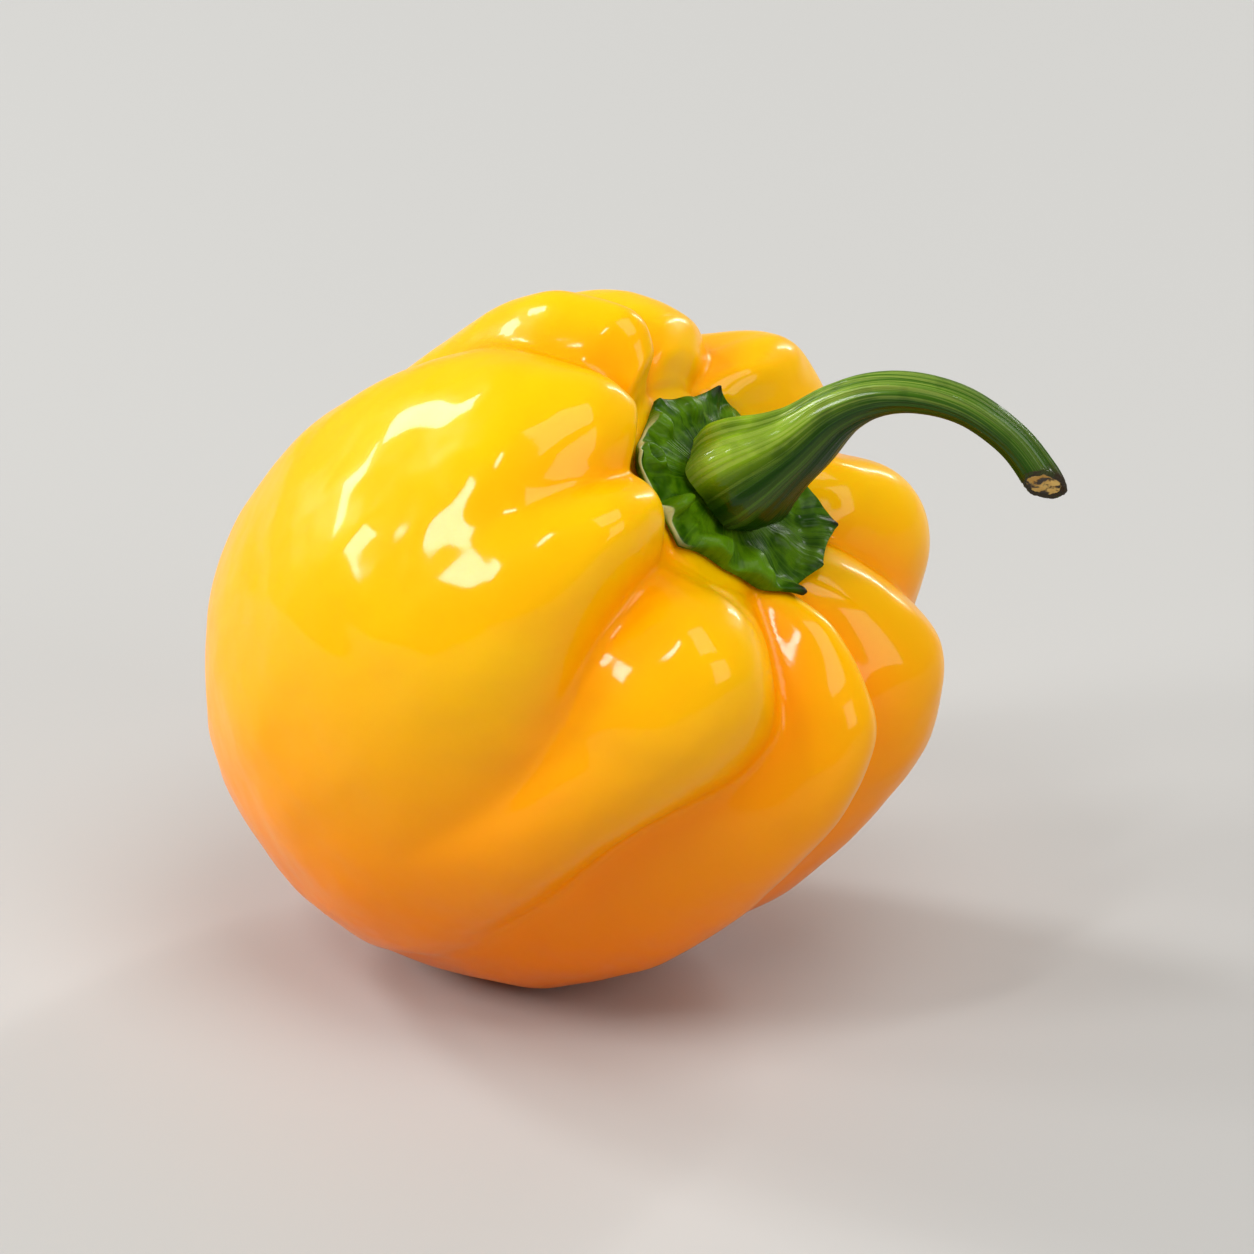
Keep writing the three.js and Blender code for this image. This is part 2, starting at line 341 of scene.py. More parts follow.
def finished(name, bm):
    mesh = bpy.data.meshes.new(name)
    bm.to_mesh(mesh)
    bm.free()
    piece = bpy.data.objects.new(name, mesh)
    bpy.context.scene.collection.objects.link(piece)
    return piece


def place_piece(piece, material, replaced=None):
    """Gives a piece its material, its body and the CAD node that it stands for."""
    piece.data.materials.append(material)
    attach(piece, "root")
    if replaced:
        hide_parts(replaced)


# Shape of the pod


def crease_angle(angles, level):
    calyx, shoulder, belly = angles
    toward_shoulder = mix(calyx, shoulder, smooth(level, *TO_SHOULDER))
    return mix(toward_shoulder, belly, smooth(level, *TO_BELLY))


def crease_depth(depths, fade, level):
    return mix(*depths, smooth(level, *DEPTH_CHANGE)) * (1 - smooth(level, *fade))


def crease_share(part, softness):
    return max(1 + softness - math.hypot(part, softness), 0.0) ** LOBE_ROUNDNESS


@functools.lru_cache(maxsize=None)
def lobes_at(level):
    """The lobes round one level: where each starts, how wide it is, and its two creases' depths."""
    lobes = []
    for crease, following in zip(CREASES, CREASES[1:] + CREASES[:1]):
        start = crease_angle(crease[0], level)
        width = turn_between(start, crease_angle(following[0], level))
        depths = crease_depth(*crease[1:], level), crease_depth(*following[1:], level)
        lobes.append((start, width, depths))
    return lobes


def lobe_depth(angle, level, softness):
    """How deep the point lies under the unlobed outline, and how near a crease it is, 0 to 1."""
    for start, width, near in lobes_at(level):
        part = turn_between(start, angle) / width
        if part < 1:
            shares = crease_share(part, softness), crease_share(1 - part, softness)
            depth = near[0] * shares[0] + near[1] * shares[1]
            return depth, max(near[0] * shares[0] ** 2, near[1] * shares[1] ** 2)
    return 0.0, 0.0


def swell_height(angle, level):
    """How far the swells and hollows move the skin outward."""
    height = 0.0
    for at, middle, wide, tall, rise in SWELLS:
        off = (angle_apart(at, angle) / wide) ** 2 + ((level - middle) / tall) ** 2
        height += rise * math.exp(-off)
    return height


def rest_on_surface(point):
    """Where the flesh would pass through the surface below it is pressed flat against it."""
    below = min(point.dot(UPWARD) + SEAT_PLACE.z, 0.0)
    return point - UPWARD * below


@functools.lru_cache(maxsize=None)
def pod_outline(level):
    """A place on the lobe's outline and on the crease's, and the way out of the flesh there."""
    along = spline_along(LOBE_OUTLINE, level)
    outward = Vector((max(-along.y, 0.0), along.x)).normalized()
    return spline(LOBE_OUTLINE, level), spline(CREASE_OUTLINE, level), outward


def pod_point(angle, level, softness, unevenness, share=1.0):
    """A point of the pod's skin; the creases can be made shallower, to a share of their depth."""
    crest, groove, outward = pod_outline(level)
    depth, crease = lobe_depth(angle, level, softness)
    free = smooth(level, *LOBES_START) * (1 - smooth(level, *LOBES_END))
    turn = math.radians(angle)
    around = Vector((math.cos(turn), math.sin(turn), 0))
    rough = Vector((around.x * crest.x, around.y * crest.x, crest.y))
    uneven = sum(strength * bumpy(rough, size, seed) for size, strength, seed in SKIN_BUMPS)
    ripple = RIPPLE_SHARE * bumpy((*around.xy, level * 0.6), RIPPLE_SIZE, 2)
    uneven = unevenness * (uneven + ripple - SKIN_SINK)
    rise = (swell_height(angle, level) + uneven) * free
    radius, height = crest.lerp(groove, depth * share * free) + outward * rise
    lean = POD_LEAN * smooth(level, *LEAN_SPAN)
    lean_to = math.radians(POD_LEAN_TO)
    point = Vector((
        radius * around.x + lean * math.cos(lean_to),
        radius * around.y + lean * math.sin(lean_to),
        height,
    ))
    return rest_on_surface(point), (crease * free, level)


def scar_point(angle, level, flesh):
    """A dry button with the stub of the flower at the pod's end."""
    end = pod_point(0.0, 1.0, flesh.softness, flesh.unevenness / MM)[0]
    turn = math.radians(angle)
    share = math.sin(level * math.pi)
    waves = 1 + 0.12 * math.sin(turn * 3) + 0.08 * math.sin(turn * 5)
    across = flesh.scar_radius / MM * share * waves
    button = abs(math.cos(level * math.pi)) ** 0.6
    stub = STUB_RISE * math.exp(-((share / STUB_WIDTH) ** 2))
    out = -SCAR_RISE * (button + stub) if level > 0.5 else SCAR_ROOT
    return end + Vector((across * math.cos(turn), across * math.sin(turn), out)), (share,)


# Shape of the calyx


@functools.lru_cache(maxsize=None)
def seat_line(angle, softness, unevenness):
    """Distances from the axis and heights, outward from the middle, of the seat under the calyx."""
    line = []
    for step in range(SEAT_STEPS + 1):
        level = CALYX_REACH * step / SEAT_STEPS
        point, _ = pod_point(angle, level, softness, unevenness, CALYX_DRAPE)
        line.append((math.hypot(point.x, point.y), point.z))
    return line


def seat_height(line, radius):
    index = min(max(bisect.bisect_left(line, (radius, 0)), 1), len(line) - 1)
    (near, low), (far, high) = line[index - 1], line[index]
    return mix(low, high, (radius - near) / (far - near))


def calyx_rim(turn, sag):
    """A point of the rim, which runs nearly straight between corners, and how dry it is there."""
    place = turn / 360.0 * len(CALYX_CORNERS)
    index = int(place) % len(CALYX_CORNERS)
    part = place - int(place)
    near = CALYX_CORNERS[index]
    far = CALYX_CORNERS[(index + 1) % len(CALYX_CORNERS)]
    rim = round_from(*near[:2]).lerp(round_from(*far[:2]), part)
    dry = max(near[2] * (1 - smooth(part, 0, DRY_SPREAD)), far[2] * smooth(part, 1 - DRY_SPREAD, 1))
    return rim * (1 - sag / rim.length * math.sin(part * math.pi)), dry


def fold_height(flat):
    """How high the folds and the curled ring stand."""
    angle = math.degrees(math.atan2(flat.y, flat.x))
    height = 0.0
    for at, radius, before, after, long, rise in CALYX_FOLDS:
        aside = angle_apart(at, angle)
        wide = before if aside < 0 else after
        off = (aside / wide) ** 2 + ((flat.length - radius) / long) ** 2
        height += rise * math.exp(-off * off)
    at, radius, ring, wide, rise = CALYX_CURL
    off = ((flat - round_from(at, radius)).length - ring) / wide
    return height + rise * math.exp(-(off**2))


def vein_height(flat):
    """Raised lines from the middle to each corner, 0 to 1."""
    angle = math.degrees(math.atan2(flat.y, flat.x))
    height = 0.0
    for at, _, _ in CALYX_CORNERS:
        aside = math.radians(angle_apart(at, angle)) * flat.length
        height = max(height, math.exp(-((aside / VEIN_WIDTH) ** 2)))
    return height


def calyx_point(turn, level, flesh, plate):
    """The flesh gives the skin that it drapes over, and the plate its own shape."""
    rim, dry = calyx_rim(turn, plate.sag / MM)
    share = math.sin(level * math.pi)
    flat = rim * share
    angle = round(math.degrees(math.atan2(rim.y, rim.x)), 4)
    line = seat_line(angle, flesh.softness, flesh.unevenness / MM)
    thickness = plate.thickness / MM
    body = abs(math.cos(level * math.pi)) ** RIM_ROUNDNESS * thickness
    middle = seat_height(line, flat.length) + CALYX_GAP + PLATE_UNDER * thickness
    tip = dry * smooth(share, *DRY_TIPS)
    if level >= 0.5:
        return Vector((*flat, middle - PLATE_UNDER * body)), (tip, 0.0, 0.0)
    fold = fold_height(flat)
    vein = plate.vein / MM * vein_height(flat) * smooth(flat.length, *VEINS_START)
    crinkle = plate.crinkle / MM * bumpy((*flat, 0), CRINKLE_SIZE, 5)
    crinkle *= smooth(flat.length, *CRINKLES_START)
    height = middle + PLATE_OVER * body + (fold + vein + crinkle) * smooth(body, 0, 0.6)
    # The pale rim line is a painted highlight, kept to the side of the rim that faces the key light
    rim_highlight_share = 1 - smooth(abs(angle_apart(RIM_HIGHLIGHT_FACES, angle)), *RIM_HIGHLIGHT_SPAN)
    return Vector((*flat, height)), (tip, smooth(share, *RIM_HIGHLIGHT_BAND) * rim_highlight_share, min(fold, 1.0))


# Shape of the stem


def even_stops(points, count):
    """How far along the line, by count, each of count + 1 evenly spaced points lies."""
    fine = count * 20
    places = [spline(points, step / fine) for step in range(fine + 1)]
    lengths = [0.0]
    for start, end in zip(places, places[1:]):
        lengths.append(lengths[-1] + (end - start).length)
    stops = []
    step = 0
    for index in range(count + 1):
        wanted = lengths[-1] * index / count
        while step < fine and lengths[step] < wanted:
            step += 1
        stops.append(step / fine)
    return stops


STEM_STOPS = even_stops(STEM_LINE, 120)


def stem_frame(part):
    """A place on the stem's middle line, the two directions across it, and the one along it."""
    place = part * (len(STEM_STOPS) - 1)
    index = min(int(place), len(STEM_STOPS) - 2)
    stop = mix(STEM_STOPS[index], STEM_STOPS[index + 1], place - index)
    along = spline_along(STEM_LINE, stop)
    side = Vector((0, 1, 0)).cross(along).normalized()
    return spline(STEM_LINE, stop), side, along.cross(side), along


# The radii as flat points, which spline takes
STEM_RADIUS_POINTS = [(0.0, radius) for radius in STEM_RADII]


def stem_ridge(angle):
    """Height of the ridges as a share of the radius."""
    height = 0.0
    for at, rise, wide in STEM_RIDGES:
        off = math.hypot(angle_apart(at, angle) / wide, RIDGE_ROUNDNESS)
        height += rise * math.exp(RIDGE_ROUNDNESS - off)
    return height


def stem_radius(part, angle, groove):
    """The stem's radius there, and how high the ridges stand over their middle height."""
    plain = spline(STEM_RADIUS_POINTS, part).y
    tuck = 1 - FOOT_TUCK * (1 - smooth(part, 0, FOOT_END)) ** 2
    turn = math.radians(angle)
    twist = angle + RIDGE_TWIST * smooth(part, 0.3, 1.0)
    ridge = (stem_ridge(twist) - RIDGE_MIDDLE) * mix(1, RIDGE_LEFT, smooth(part, 0, 0.6))
    fine = groove * noise.noise(Vector((math.cos(turn) * 5, math.sin(turn) * 5, part * 3)))
    return plain * tuck * (1 + ridge) + fine, ridge


def cut_slant(angle, radius):
    """The cut slopes, and is shortest on the side that it faces."""
    return CUT_SLOPE * (radius * math.cos(math.radians(angle - CUT_FACES)) + CUT_BACK)


def stem_point(angle, level, groove):
    """The first and last few levels close the foot and the hollow of the cut end."""
    part = min(max((level - STEM_CLOSING) / (1 - 2 * STEM_CLOSING), 0.0), 1.0)
    place, side, across, along = stem_frame(part)
    shrink = min(level / STEM_CLOSING, (1 - level) / STEM_CLOSING, 1.0)
    turn = math.radians(angle)
    radius, ridge = stem_radius(part, angle, groove)
    hollow = CUT_HOLLOW * smooth(1 - shrink, 0.1, 0.3) if level > 0.5 else 0.0
    hollow += cut_slant(angle, radius * shrink) * smooth(part, CUT_START, 1.0)
    lip = 1 - CUT_LIP * smooth(part, CUT_LIP_START, 1.0)
    point = place + (side * math.cos(turn) + across * math.sin(turn)) * (radius * shrink * lip)
    # How far the point faces the side that gets painted light, 0 to 1
    lighted = 0.5 + 0.5 * math.cos(turn - math.radians(STEM_LIT_SIDE))
    return point - along * hollow, (part, lighted, ridge / RIDGE_FULL)


def pith_point(angle, level, unevenness):
    """A low cushion in the hollow of the cut end."""
    place, side, across, along = stem_frame(1.0)
    turn = math.radians(angle)
    share = math.sin(level * math.pi)
    radius = stem_radius(1.0, angle, 0.0)[0] * PITH_SHARE * share
    flat = side * (radius * math.cos(turn)) + across * (radius * math.sin(turn))
    rise = PITH_UNDER
    if level < 0.5:
        rise = mix(PITH_OVER, PITH_UNDER, level)
        rise += unevenness * bumpy(flat, PITH_BUMP_SIZE, 4) * (1 - smooth(share, 0.8, 1.0))
    rise -= CUT_HOLLOW + cut_slant(angle, radius) - PITH_DOME * share
    return place + flat + along * rise, ()


# Materials

# A Mix node's sockets when it mixes colours
MIX_SHARE, MIX_LOW, MIX_HIGH = 0, 6, 7
MIX_RESULT = 2


def node_of(tree, kind, inputs=None, **settings):
    """A node with its settings, and its inputs set to a value or linked to an output."""
    node = tree.nodes.new(kind)
    for name, value in settings.items():
        setattr(node, name, value)
    for name, value in (inputs or {}).items():
        if isinstance(value, bpy.types.NodeSocket):
            tree.links.new(value, node.inputs[name])
        else:
            node.inputs[name].default_value = value
    return node


def blended(tree, share, low, high):
    """Colour low where share is 0, and high where it is 1."""
    inputs = {MIX_SHARE: share, MIX_LOW: low, MIX_HIGH: high}
    return node_of(tree, "ShaderNodeMix", inputs, data_type="RGBA").outputs[MIX_RESULT]


def ranged(tree, value, start, end, low=0.0, high=1.0, curve="LINEAR"):
    """Low where the value is at its start, and high where it is at its end."""
    inputs = {"Value": value, "From Min": start, "From Max": end, "To Min": low, "To Max": high}
    return node_of(tree, "ShaderNodeMapRange", inputs, interpolation_type=curve).outputs["Result"]


def arithmetic(tree, operation, first, second, clamp=False):
    inputs = {0: first, 1: second}
    return node_of(tree, "ShaderNodeMath", inputs, operation=operation, use_clamp=clamp).outputs[0]


def mark(tree, name):
    """One of the numbers that ball_skin gives to the points."""
    return node_of(tree, "ShaderNodeAttribute", attribute_name=name).outputs["Fac"]


def lay_stretched(tree, scale):
    """How the points lie round the piece and along it, at a scale for each direction."""
    lay = node_of(tree, "ShaderNodeAttribute", attribute_name="lay").outputs["Vector"]
    return node_of(tree, "ShaderNodeMapping", {"Vector": lay, "Scale": scale}).outputs["Vector"]


def object_place(tree):
    return node_of(tree, "ShaderNodeTexCoord").outputs["Object"]


def material_with(name, **constants):
    """A material with its Principled BSDF, and the sockets that hold one value all over."""
    material = bpy.data.materials.new(name)
    material.use_nodes = True
    shader = material.node_tree.nodes["Principled BSDF"]
    for socket, value in constants.items():
        shader.inputs[socket.replace("_", " ")].default_value = value
    return material, material.node_tree, shader


def patches_group():
    """Soft patches from noise on any coordinates, as a mask from 0 to 1."""
    group = bpy.data.node_groups.get("soft patches")
    if group:
        return group
    group = bpy.data.node_groups.new("soft patches", "ShaderNodeTree")
    face = group.interface
    face.new_socket("Place", in_out="INPUT", socket_type="NodeSocketVector")
    for name in ("Scale", "Detail", "Low", "High"):
        face.new_socket(name, in_out="INPUT", socket_type="NodeSocketFloat")
    face.new_socket("Mask", in_out="OUTPUT", socket_type="NodeSocketFloat")
    start = group.nodes.new("NodeGroupInput").outputs
    end = group.nodes.new("NodeGroupOutput")
    inputs = {"Vector": start["Place"], "Scale": start["Scale"], "Detail": start["Detail"]}
    cloud = node_of(group, "ShaderNodeTexNoise", inputs).outputs["Fac"]
    mask = ranged(group, cloud, start["Low"], start["High"], curve="SMOOTHSTEP")
    group.links.new(mask, end.inputs["Mask"])
    return group


def patches(tree, place, scale, detail, low, high):
    inputs = {"Place": place, "Scale": scale, "Detail": detail, "Low": low, "High": high}
    return node_of(tree, "ShaderNodeGroup", inputs, node_tree=patches_group()).outputs["Mask"]


def surfaced(tree, shader, colour, relief, strength, distance):
    """Gives the shader its colour, and a bump where the relief stands up."""
    tree.links.new(colour, shader.inputs["Base Color"])
    inputs = {"Height": relief, "Strength": strength, "Distance": distance}
    tree.links.new(node_of(tree, "ShaderNodeBump", inputs).outputs["Normal"], shader.inputs["Normal"])


def roughened(tree, shader, mask, low, high):
    tree.links.new(ranged(tree, mask, 0, 1, low, high), shader.inputs["Roughness"])


def flesh_material(settings):
    material, tree, shader = material_with(
        "ripe yellow flesh", Coat_Weight=0.085, Coat_Roughness=settings.gloss, Coat_IOR=WAX_IOR,
        Subsurface_Weight=0.3, Subsurface_Radius=(1.0, 0.35, 0.02), Subsurface_Scale=0.003,
        Specular_IOR_Level=0.1, Specular_Tint=(1.0, 0.6, 0.1, 1.0))
    place = object_place(tree)
    # Deeper orange: broad soft patches give a little real uneven tone, and painted shade adds more
    # toward the blossom end and on the underside near the floor
    broad = patches(tree, place, scale=46, detail=2, low=0.38, high=0.68)
    toward_end = ranged(tree, mark(tree, "level"), 0.5, 1, high=0.75)
    height = node_of(tree, "ShaderNodeSeparateXYZ", {"Vector": place}).outputs["Z"]
    below = ranged(tree, height, 0.042, 0.002, curve="SMOOTHSTEP")
    deep = arithmetic(tree, "MAXIMUM", arithmetic(tree, "MULTIPLY", broad, 0.2), toward_end)
    deep = arithmetic(tree, "MAXIMUM", deep, below)
    skin = blended(tree, deep, settings.ripe_colour, settings.orange_tone_and_shade_colour)
    # Painted shade: the skin turns orange toward the bottom of each crease
    painted_crease_shade = arithmetic(tree, "MULTIPLY", mark(tree, "crease"), 0.55, clamp=True)
    skin = blended(tree, painted_crease_shade, skin, settings.crease_shade_colour)
    waxy = patches(tree, place, scale=110, detail=1, low=0.2, high=0.8)
    roughened(tree, shader, waxy, 0.28, 0.34)
    pitted = patches(tree, place, scale=230, detail=1.6, low=0.2, high=0.8)
    surfaced(tree, shader, skin, pitted, strength=0.3, distance=0.0004)
    return material


def scar_material(settings):
    material, tree, shader = material_with("dry blossom scar", Specular_IOR_Level=0.2, Roughness=0.7)
    mottle = patches(tree, object_place(tree), scale=2500, detail=2, low=0.3, high=0.7)
    rim = ranged(tree, mark(tree, "share"), 0.75, 1)
    brown = blended(tree, mottle, settings.scar_colour, settings.scar_dark)
    # The scar's rim fades into the painted crease shade orange of the skin
    brown = blended(tree, rim, brown, settings.crease_shade_colour)
    surfaced(tree, shader, brown, mottle, strength=0.4, distance=0.0002)
    return material


def leaf_material(settings):
    material, tree, shader = material_with(
        "calyx green", Coat_Weight=0.03, Coat_Roughness=0.2, Coat_IOR=WAX_IOR,
        Subsurface_Weight=0.08, Subsurface_Radius=(0.3, 1.0, 0.1), Subsurface_Scale=0.001,
        Specular_IOR_Level=0.06)
    mottle = patches(tree, object_place(tree), scale=700, detail=2, low=0.35, high=0.7)
    rays = lay_stretched(tree, (22, 22, 1.2))
    rays = patches(tree, rays, scale=1, detail=2, low=0.45, high=0.62)
    folded = arithmetic(tree, "MULTIPLY", mark(tree, "fold"), 0.75, clamp=True)
    green = blended(tree, mottle, settings.leaf_colour, settings.light_colour)
    green = blended(tree, arithmetic(tree, "MULTIPLY", rays, 0.3), green, settings.ray_colour)
    green = blended(tree, folded, green, settings.ray_colour)
    # Painted highlight: the pale line along the rim's lit side
    green = blended(tree, mark(tree, "edge"), green, settings.rim_highlight_colour)
    green = blended(tree, mark(tree, "tip"), green, settings.tip_colour)
    roughened(tree, shader, mottle, 0.38, 0.55)
    relief = arithmetic(tree, "ADD", rays, mottle)
    surfaced(tree, shader, green, relief, strength=0.3, distance=0.00015)
    return material


def stem_material(settings):
    material, tree, shader = material_with(
        "stem green", Coat_Weight=0.09, Coat_Roughness=0.12, Coat_IOR=WAX_IOR,
        Subsurface_Weight=0.05, Subsurface_Radius=(0.4, 1.0, 0.1), Subsurface_Scale=0.001,
        Specular_IOR_Level=0.06)
    along = mark(tree, "along")
    ridge = mark(tree, "ridge")
    mottle = patches(tree, object_place(tree), scale=420, detail=2, low=0.3, high=0.7)
    streaks = lay_stretched(tree, (10, 10, 1.6))
    streaks = patches(tree, streaks, scale=1.6, detail=3, low=0.45, high=0.6)
    # Painted light: the lit side is lighter green, yellower still toward the foot; the rest keeps the
    # painted shade's dark green
    lit = ranged(tree, mark(tree, "lighted"), 0.5, 0.85, curve="SMOOTHSTEP")
    lit = arithmetic(tree, "MULTIPLY", lit, arithmetic(tree, "ADD", mottle, 0.6, clamp=True))
    shade = arithmetic(tree, "MULTIPLY", streaks, 0.3)
    green = blended(tree, shade, settings.shaded_green_colour, settings.lit_green_colour)
    foot = ranged(tree, along, 0.5, 0.15)
    lit_foot_green = blended(tree, foot, settings.lit_green_colour, settings.lit_foot_colour)
    green = blended(tree, lit, green, lit_foot_green)
    # Painted shade in the grooves between the ridges
    groove_shade = ranged(tree, ridge, -0.3, 0.25, low=0.75, high=0)
    green = blended(tree, groove_shade, green, settings.shaded_green_colour)
    # Painted highlights: pale glints along the streaks on the lit side and along the ridge tops
    pale = arithmetic(tree, "MULTIPLY", arithmetic(tree, "MULTIPLY", streaks, 0.45), lit)
    pale = arithmetic(tree, "ADD", pale, arithmetic(tree, "MULTIPLY", ridge, 0.25), clamp=True)
    green = blended(tree, pale, green, settings.glint_colour)
    toward_end = ranged(tree, along, 0.5, 0.9, high=0.6)
    green = blended(tree, toward_end, green, settings.shaded_green_colour)
    to_cut = ranged(tree, along, CUT_START, CUT_LIP_START)
    dry = arithmetic(tree, "MULTIPLY", to_cut, arithmetic(tree, "ADD", mottle, 0.6), clamp=True)
    green = blended(tree, dry, green, settings.rim_colour)
    roughened(tree, shader, streaks, 0.3, 0.44)
    surfaced(tree, shader, green, streaks, strength=0.35, distance=0.0002)
    return material


def pith_material(settings):
    material, tree, shader = material_with("dry pith")
    place = object_place(tree)
    marks = patches(tree, place, scale=1500, detail=2, low=0.5, high=0.62)
    mottle = patches(tree, place, scale=700, detail=3, low=0.35, high=0.65)
    tan = blended(tree, mottle, settings.pith_colour, settings.pith_light)
    tan = blended(tree, marks, tan, settings.rim_colour)
    roughened(tree, shader, mottle, 0.55, 0.75)
    surfaced(tree, shader, tan, marks, strength=0.5, distance=0.0002)
    return material


# Settings that a user would change


def colour_property(name, description, default):
    return bpy.props.FloatVectorProperty(
        name=name, description=description, subtype="COLOR", size=4, min=0, max=1,
        default=(*default, 1.0))


def length_property(name, description, default):
    return bpy.props.FloatProperty(
        name=name, description=description, default=default, unit="LENGTH", precision=5)


class PodSettings(bpy.types.PropertyGroup):
    turns: bpy.props.IntProperty(name="Turns", description="Points round the pod", default=300)
    levels: bpy.props.IntProperty(name="Levels", description="Points from calyx to tip", default=180)
    softness: bpy.props.FloatProperty(
        name="Crease softness", default=0.07, subtype="FACTOR",
        description="How rounded the bottom of a crease is, as a share of a lobe")
    unevenness: length_property("Unevenness", "Height of the skin's soft unevenness", 0.0003)
    gloss: bpy.props.FloatProperty(
        name="Gloss roughness", default=0.06, subtype="FACTOR",
        description="Roughness of the waxy coat")
    ripe_colour: colour_property("Ripe", "Yellow of the lobes", (1.0, 0.55, 0.0))
    # Painted shade: the orange of the underside and the blossom end, which the broad tone patches also
    # use a little
    orange_tone_and_shade_colour: colour_property("Deep", "Orange of the underside and the end", (0.98, 0.2, 0.0))
    # Painted shade: the orange of the creases, which the scar's rim also fades into
    crease_shade_colour: colour_property("Crease", "Orange in the creases", (0.98, 0.26, 0.0))
    scar_radius: length_property("Scar radius", "Radius of the blossom scar", 0.0011)
    scar_colour: colour_property("Scar", "Dry brown of the blossom scar", (0.2, 0.09, 0.02))
    scar_dark: colour_property("Dark scar", "Darkest brown of the scar", (0.06, 0.03, 0.01))


class CalyxSettings(bpy.types.PropertyGroup):
    thickness: length_property("Thickness", "Thickness of the plate", 0.001)
    vein: length_property("Vein height", "Height of the veins to each corner", 0.00018)
    crinkle: length_property("Crinkle", "Height of the crinkles", 0.00022)
    sag: length_property("Edge sag", "How far the rim draws in between corners", 0.00035)
    leaf_colour: colour_property("Leaf", "Dark green", (0.018, 0.07, 0.0))
    light_colour: colour_property("Light leaf", "Lighter green", (0.08, 0.19, 0.001))
    ray_colour: colour_property("Rays and folds", "Green of rays and folds", (0.1, 0.23, 0.002))
    # Painted highlight: the pale line along the rim's lit side
    rim_highlight_colour: colour_property("Edge", "Pale line at the rim", (0.5, 0.55, 0.28))
    tip_colour: colour_property("Tips", "Dry dark tips of the teeth", (0.012, 0.012, 0.006))


class StemSettings(bpy.types.PropertyGroup):
    groove: length_property("Groove depth", "Depth of the fine lengthwise grooves", 0.00016)
    pith_bumps: length_property("Pith bumps", "Height of the cut pith's unevenness", 0.0001)
    # Painted shade: the dark green of the stem's shaded lower side and grooves
    shaded_green_colour: colour_property("Dark stem", "Deep green of the lower side", (0.006, 0.032, 0.0))
    # Painted light: the greens of the stem's lit side and its lit foot
    lit_green_colour: colour_property("Stem", "Green of the upper side", (0.06, 0.17, 0.004))
    lit_foot_colour: colour_property("Bright stem", "Yellower green at the foot", (0.23, 0.4, 0.004))
    # Painted highlight: the pale glints along the lit streaks and the ridge tops
    glint_colour: colour_property("Streaks", "Pale lengthwise streaks", (0.36, 0.46, 0.08))
    rim_colour: colour_property("Cut rim", "Dry brown rim of the cut", (0.03, 0.02, 0.008))
    pith_colour: colour_property("Pith", "Tan pith", (0.5, 0.27, 0.04))
    pith_light: colour_property("Pale pith", "Palest pith", (0.75, 0.5, 0.14))


class StageSettings(bpy.types.PropertyGroup):
    elevation: bpy.props.FloatProperty(
        name="Camera elevation", default=math.radians(24), subtype="ANGLE",
        description="Camera's angle above the table")
    distance: length_property("Camera distance", "From the camera to the pepper", 0.767)
    lens: bpy.props.FloatProperty(
        name="Lens", default=300.0, description="Focal length in millimetres")
    key_power: bpy.props.FloatProperty(
        name="Key light", default=1.6, unit="POWER", description="Power of the main soft light")
    floor_colour: colour_property("Floor", "Plain pale floor", (0.48, 0.48, 0.47))


# Operators


class PEPPER_OT_pod(bpy.types.Operator):
    """Makes the lobed yellow pod and its blossom scar"""

    bl_idname = "pepper.pod"
    bl_label = "Pod"

    def execute(self, context):
        settings = context.scene.pepper_pod

        def point_at(angle, level):
            return pod_point(angle, level, settings.softness, settings.unevenness / MM)

        def scar_at(angle, level):
            return scar_point(angle, level, settings)

        steps = settings.turns, settings.levels
        piece = ball_skin("pod_skin", steps, ("crease", "level"), point_at)
        place_piece(piece, flesh_material(settings), "pod")
        scar = ball_skin("pod_blossom_scar", SCAR_STEPS, ("share",), scar_at)
        place_piece(scar, scar_material(settings))
        return {"FINISHED"}


class PEPPER_OT_calyx(bpy.types.Operator):
    """Makes the toothed calyx with its folds and veins"""

    bl_idname = "pepper.calyx"
    bl_label = "Calyx"

    def execute(self, context):
        settings = context.scene.pepper_calyx
        flesh = context.scene.pepper_pod

        def point_at(angle, level):
            return calyx_point(angle, level, flesh, settings)

        steps = CALYX_STEPS[0] * len(CALYX_CORNERS), CALYX_STEPS[1]
        piece = ball_skin("calyx_leaf", steps, ("tip", "edge", "fold"), point_at)
        place_piece(piece, leaf_material(settings), "calyx")
        return {"FINISHED"}


class PEPPER_OT_stem(bpy.types.Operator):
    """Makes the ribbed, hooked stem and the pith in its cut end"""

    bl_idname = "pepper.stem"
    bl_label = "Stem"

    def execute(self, context):
        settings = context.scene.pepper_stem

        def point_at(angle, level):
            return stem_point(angle, level, settings.groove / MM)

        def pith_at(angle, level):
            return pith_point(angle, level, settings.pith_bumps / MM)

        piece = ball_skin("stem_stalk", STEM_STEPS, ("along", "lighted", "ridge"), point_at)
        place_piece(piece, stem_material(settings), "stem")
        pith = ball_skin("stem_pith", PITH_STEPS, (), pith_at)
        place_piece(pith, pith_material(settings))
        return {"FINISHED"}


class PEPPER_OT_stage(bpy.types.Operator):
    """Sets the floor, the lights, the pale room and the camera"""

    bl_idname = "pepper.stage"
    bl_label = "Stage"

    def execute(self, context):
        settings = context.scene.pepper_stage
        make_floor(settings)
        make_lights(settings)
        make_camera(context.scene, settings)
        return {"FINISHED"}


def make_floor(settings):
    bm = bmesh.new()
    bmesh.ops.create_grid(bm, x_segments=1, y_segments=1, size=FLOOR_REACH)
    floor = finished("table_top", bm)
    material, _, _ = material_with("plain table", Base_Color=settings.floor_colour, Roughness=0.6)
    floor.data.materials.append(material)


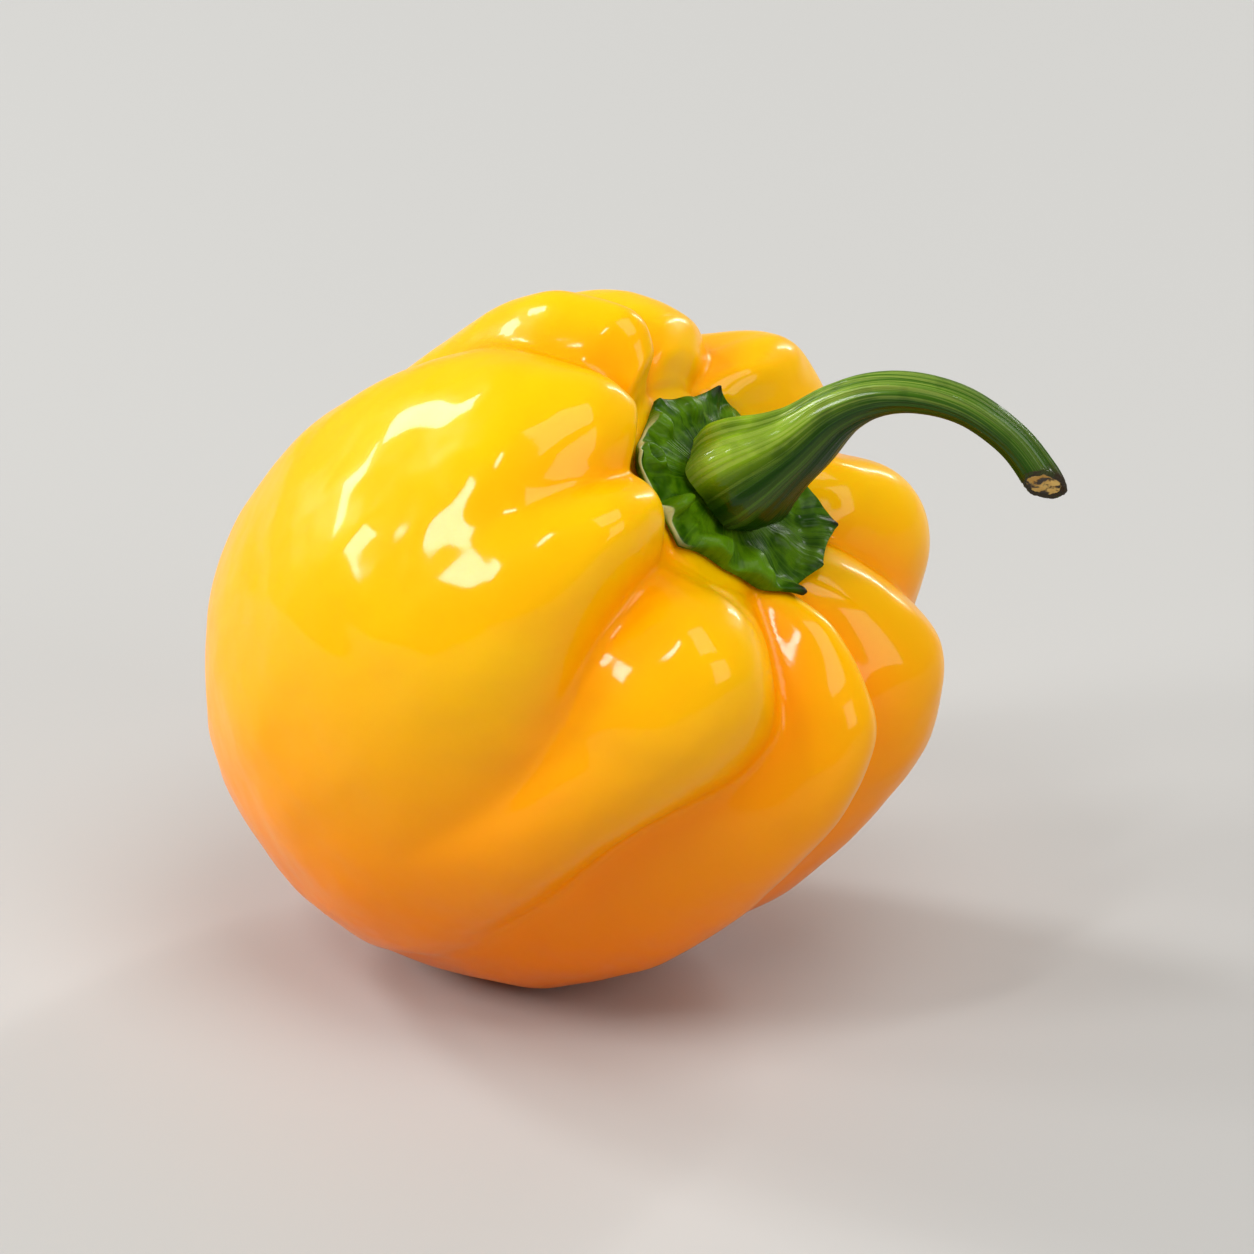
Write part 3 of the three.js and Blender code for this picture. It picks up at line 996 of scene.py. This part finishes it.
def look_from(holder, direction, distance):
    """Puts a light or the camera in that direction, looking at the pepper's middle."""
    low, high = CAD_BOX
    holder.location = (low + high) / 2 + direction.normalized() * distance
    holder.rotation_mode = "QUATERNION"
    holder.rotation_quaternion = direction.to_track_quat("Z", "Y")
    bpy.context.scene.collection.objects.link(holder)


def make_lights(settings):
    for name, direction, distance, size, share in LIGHTS:
        light = bpy.data.lights.new(name, "AREA")
        light.shape = "RECTANGLE"
        light.size, light.size_y = size
        light.energy = settings.key_power * share
        look_from(bpy.data.objects.new(name, light), Vector(direction), distance)
    world = bpy.data.worlds.new("pale room")
    world.use_nodes = True
    background = world.node_tree.nodes["Background"].inputs
    background["Color"].default_value = ROOM_COLOUR
    background["Strength"].default_value = ROOM_STRENGTH
    bpy.context.scene.world = world


def make_camera(scene, settings):
    camera = bpy.data.cameras.new("camera")
    camera.lens = settings.lens
    camera.sensor_width = 36.0
    camera.clip_start, camera.clip_end = 0.05, 20.0
    holder = bpy.data.objects.new("camera", camera)
    back = Vector((0, -math.cos(settings.elevation), math.sin(settings.elevation)))
    look_from(holder, back, settings.distance)
    scene.camera = holder
    scene.view_settings.view_transform = "Standard"


class PEPPER_PT_panel(bpy.types.Panel):
    """Lists the pepper's operators and settings"""

    bl_label = "Scotch Bonnet Pepper"
    bl_space_type = "VIEW_3D"
    bl_region_type = "UI"
    bl_category = "Pepper"

    def draw(self, context):
        for group, operator in PANEL_ROWS:
            settings = getattr(context.scene, group)
            for name in settings.bl_rna.properties.keys():
                if name not in ("rna_type", "name"):
                    self.layout.prop(settings, name)
            self.layout.operator(operator)


PANEL_ROWS = (
    ("pepper_pod", "pepper.pod"),
    ("pepper_calyx", "pepper.calyx"),
    ("pepper_stem", "pepper.stem"),
    ("pepper_stage", "pepper.stage"),
)
SETTINGS = {
    "pepper_pod": PodSettings,
    "pepper_calyx": CalyxSettings,
    "pepper_stem": StemSettings,
    "pepper_stage": StageSettings,
}
CLASSES = (
    *SETTINGS.values(), PEPPER_OT_pod, PEPPER_OT_calyx, PEPPER_OT_stem, PEPPER_OT_stage,
    PEPPER_PT_panel,
)


def register():
    for each in CLASSES:
        bpy.utils.register_class(each)
    for name, group in SETTINGS.items():
        setattr(bpy.types.Scene, name, bpy.props.PointerProperty(type=group))


def unregister():
    for name in SETTINGS:
        delattr(bpy.types.Scene, name)
    for each in reversed(CLASSES):
        bpy.utils.unregister_class(each)


def main():
    register()
    bpy.ops.pepper.stage()
    bpy.ops.pepper.pod()
    bpy.ops.pepper.calyx()
    bpy.ops.pepper.stem()


if __name__ == "__main__":
    main()
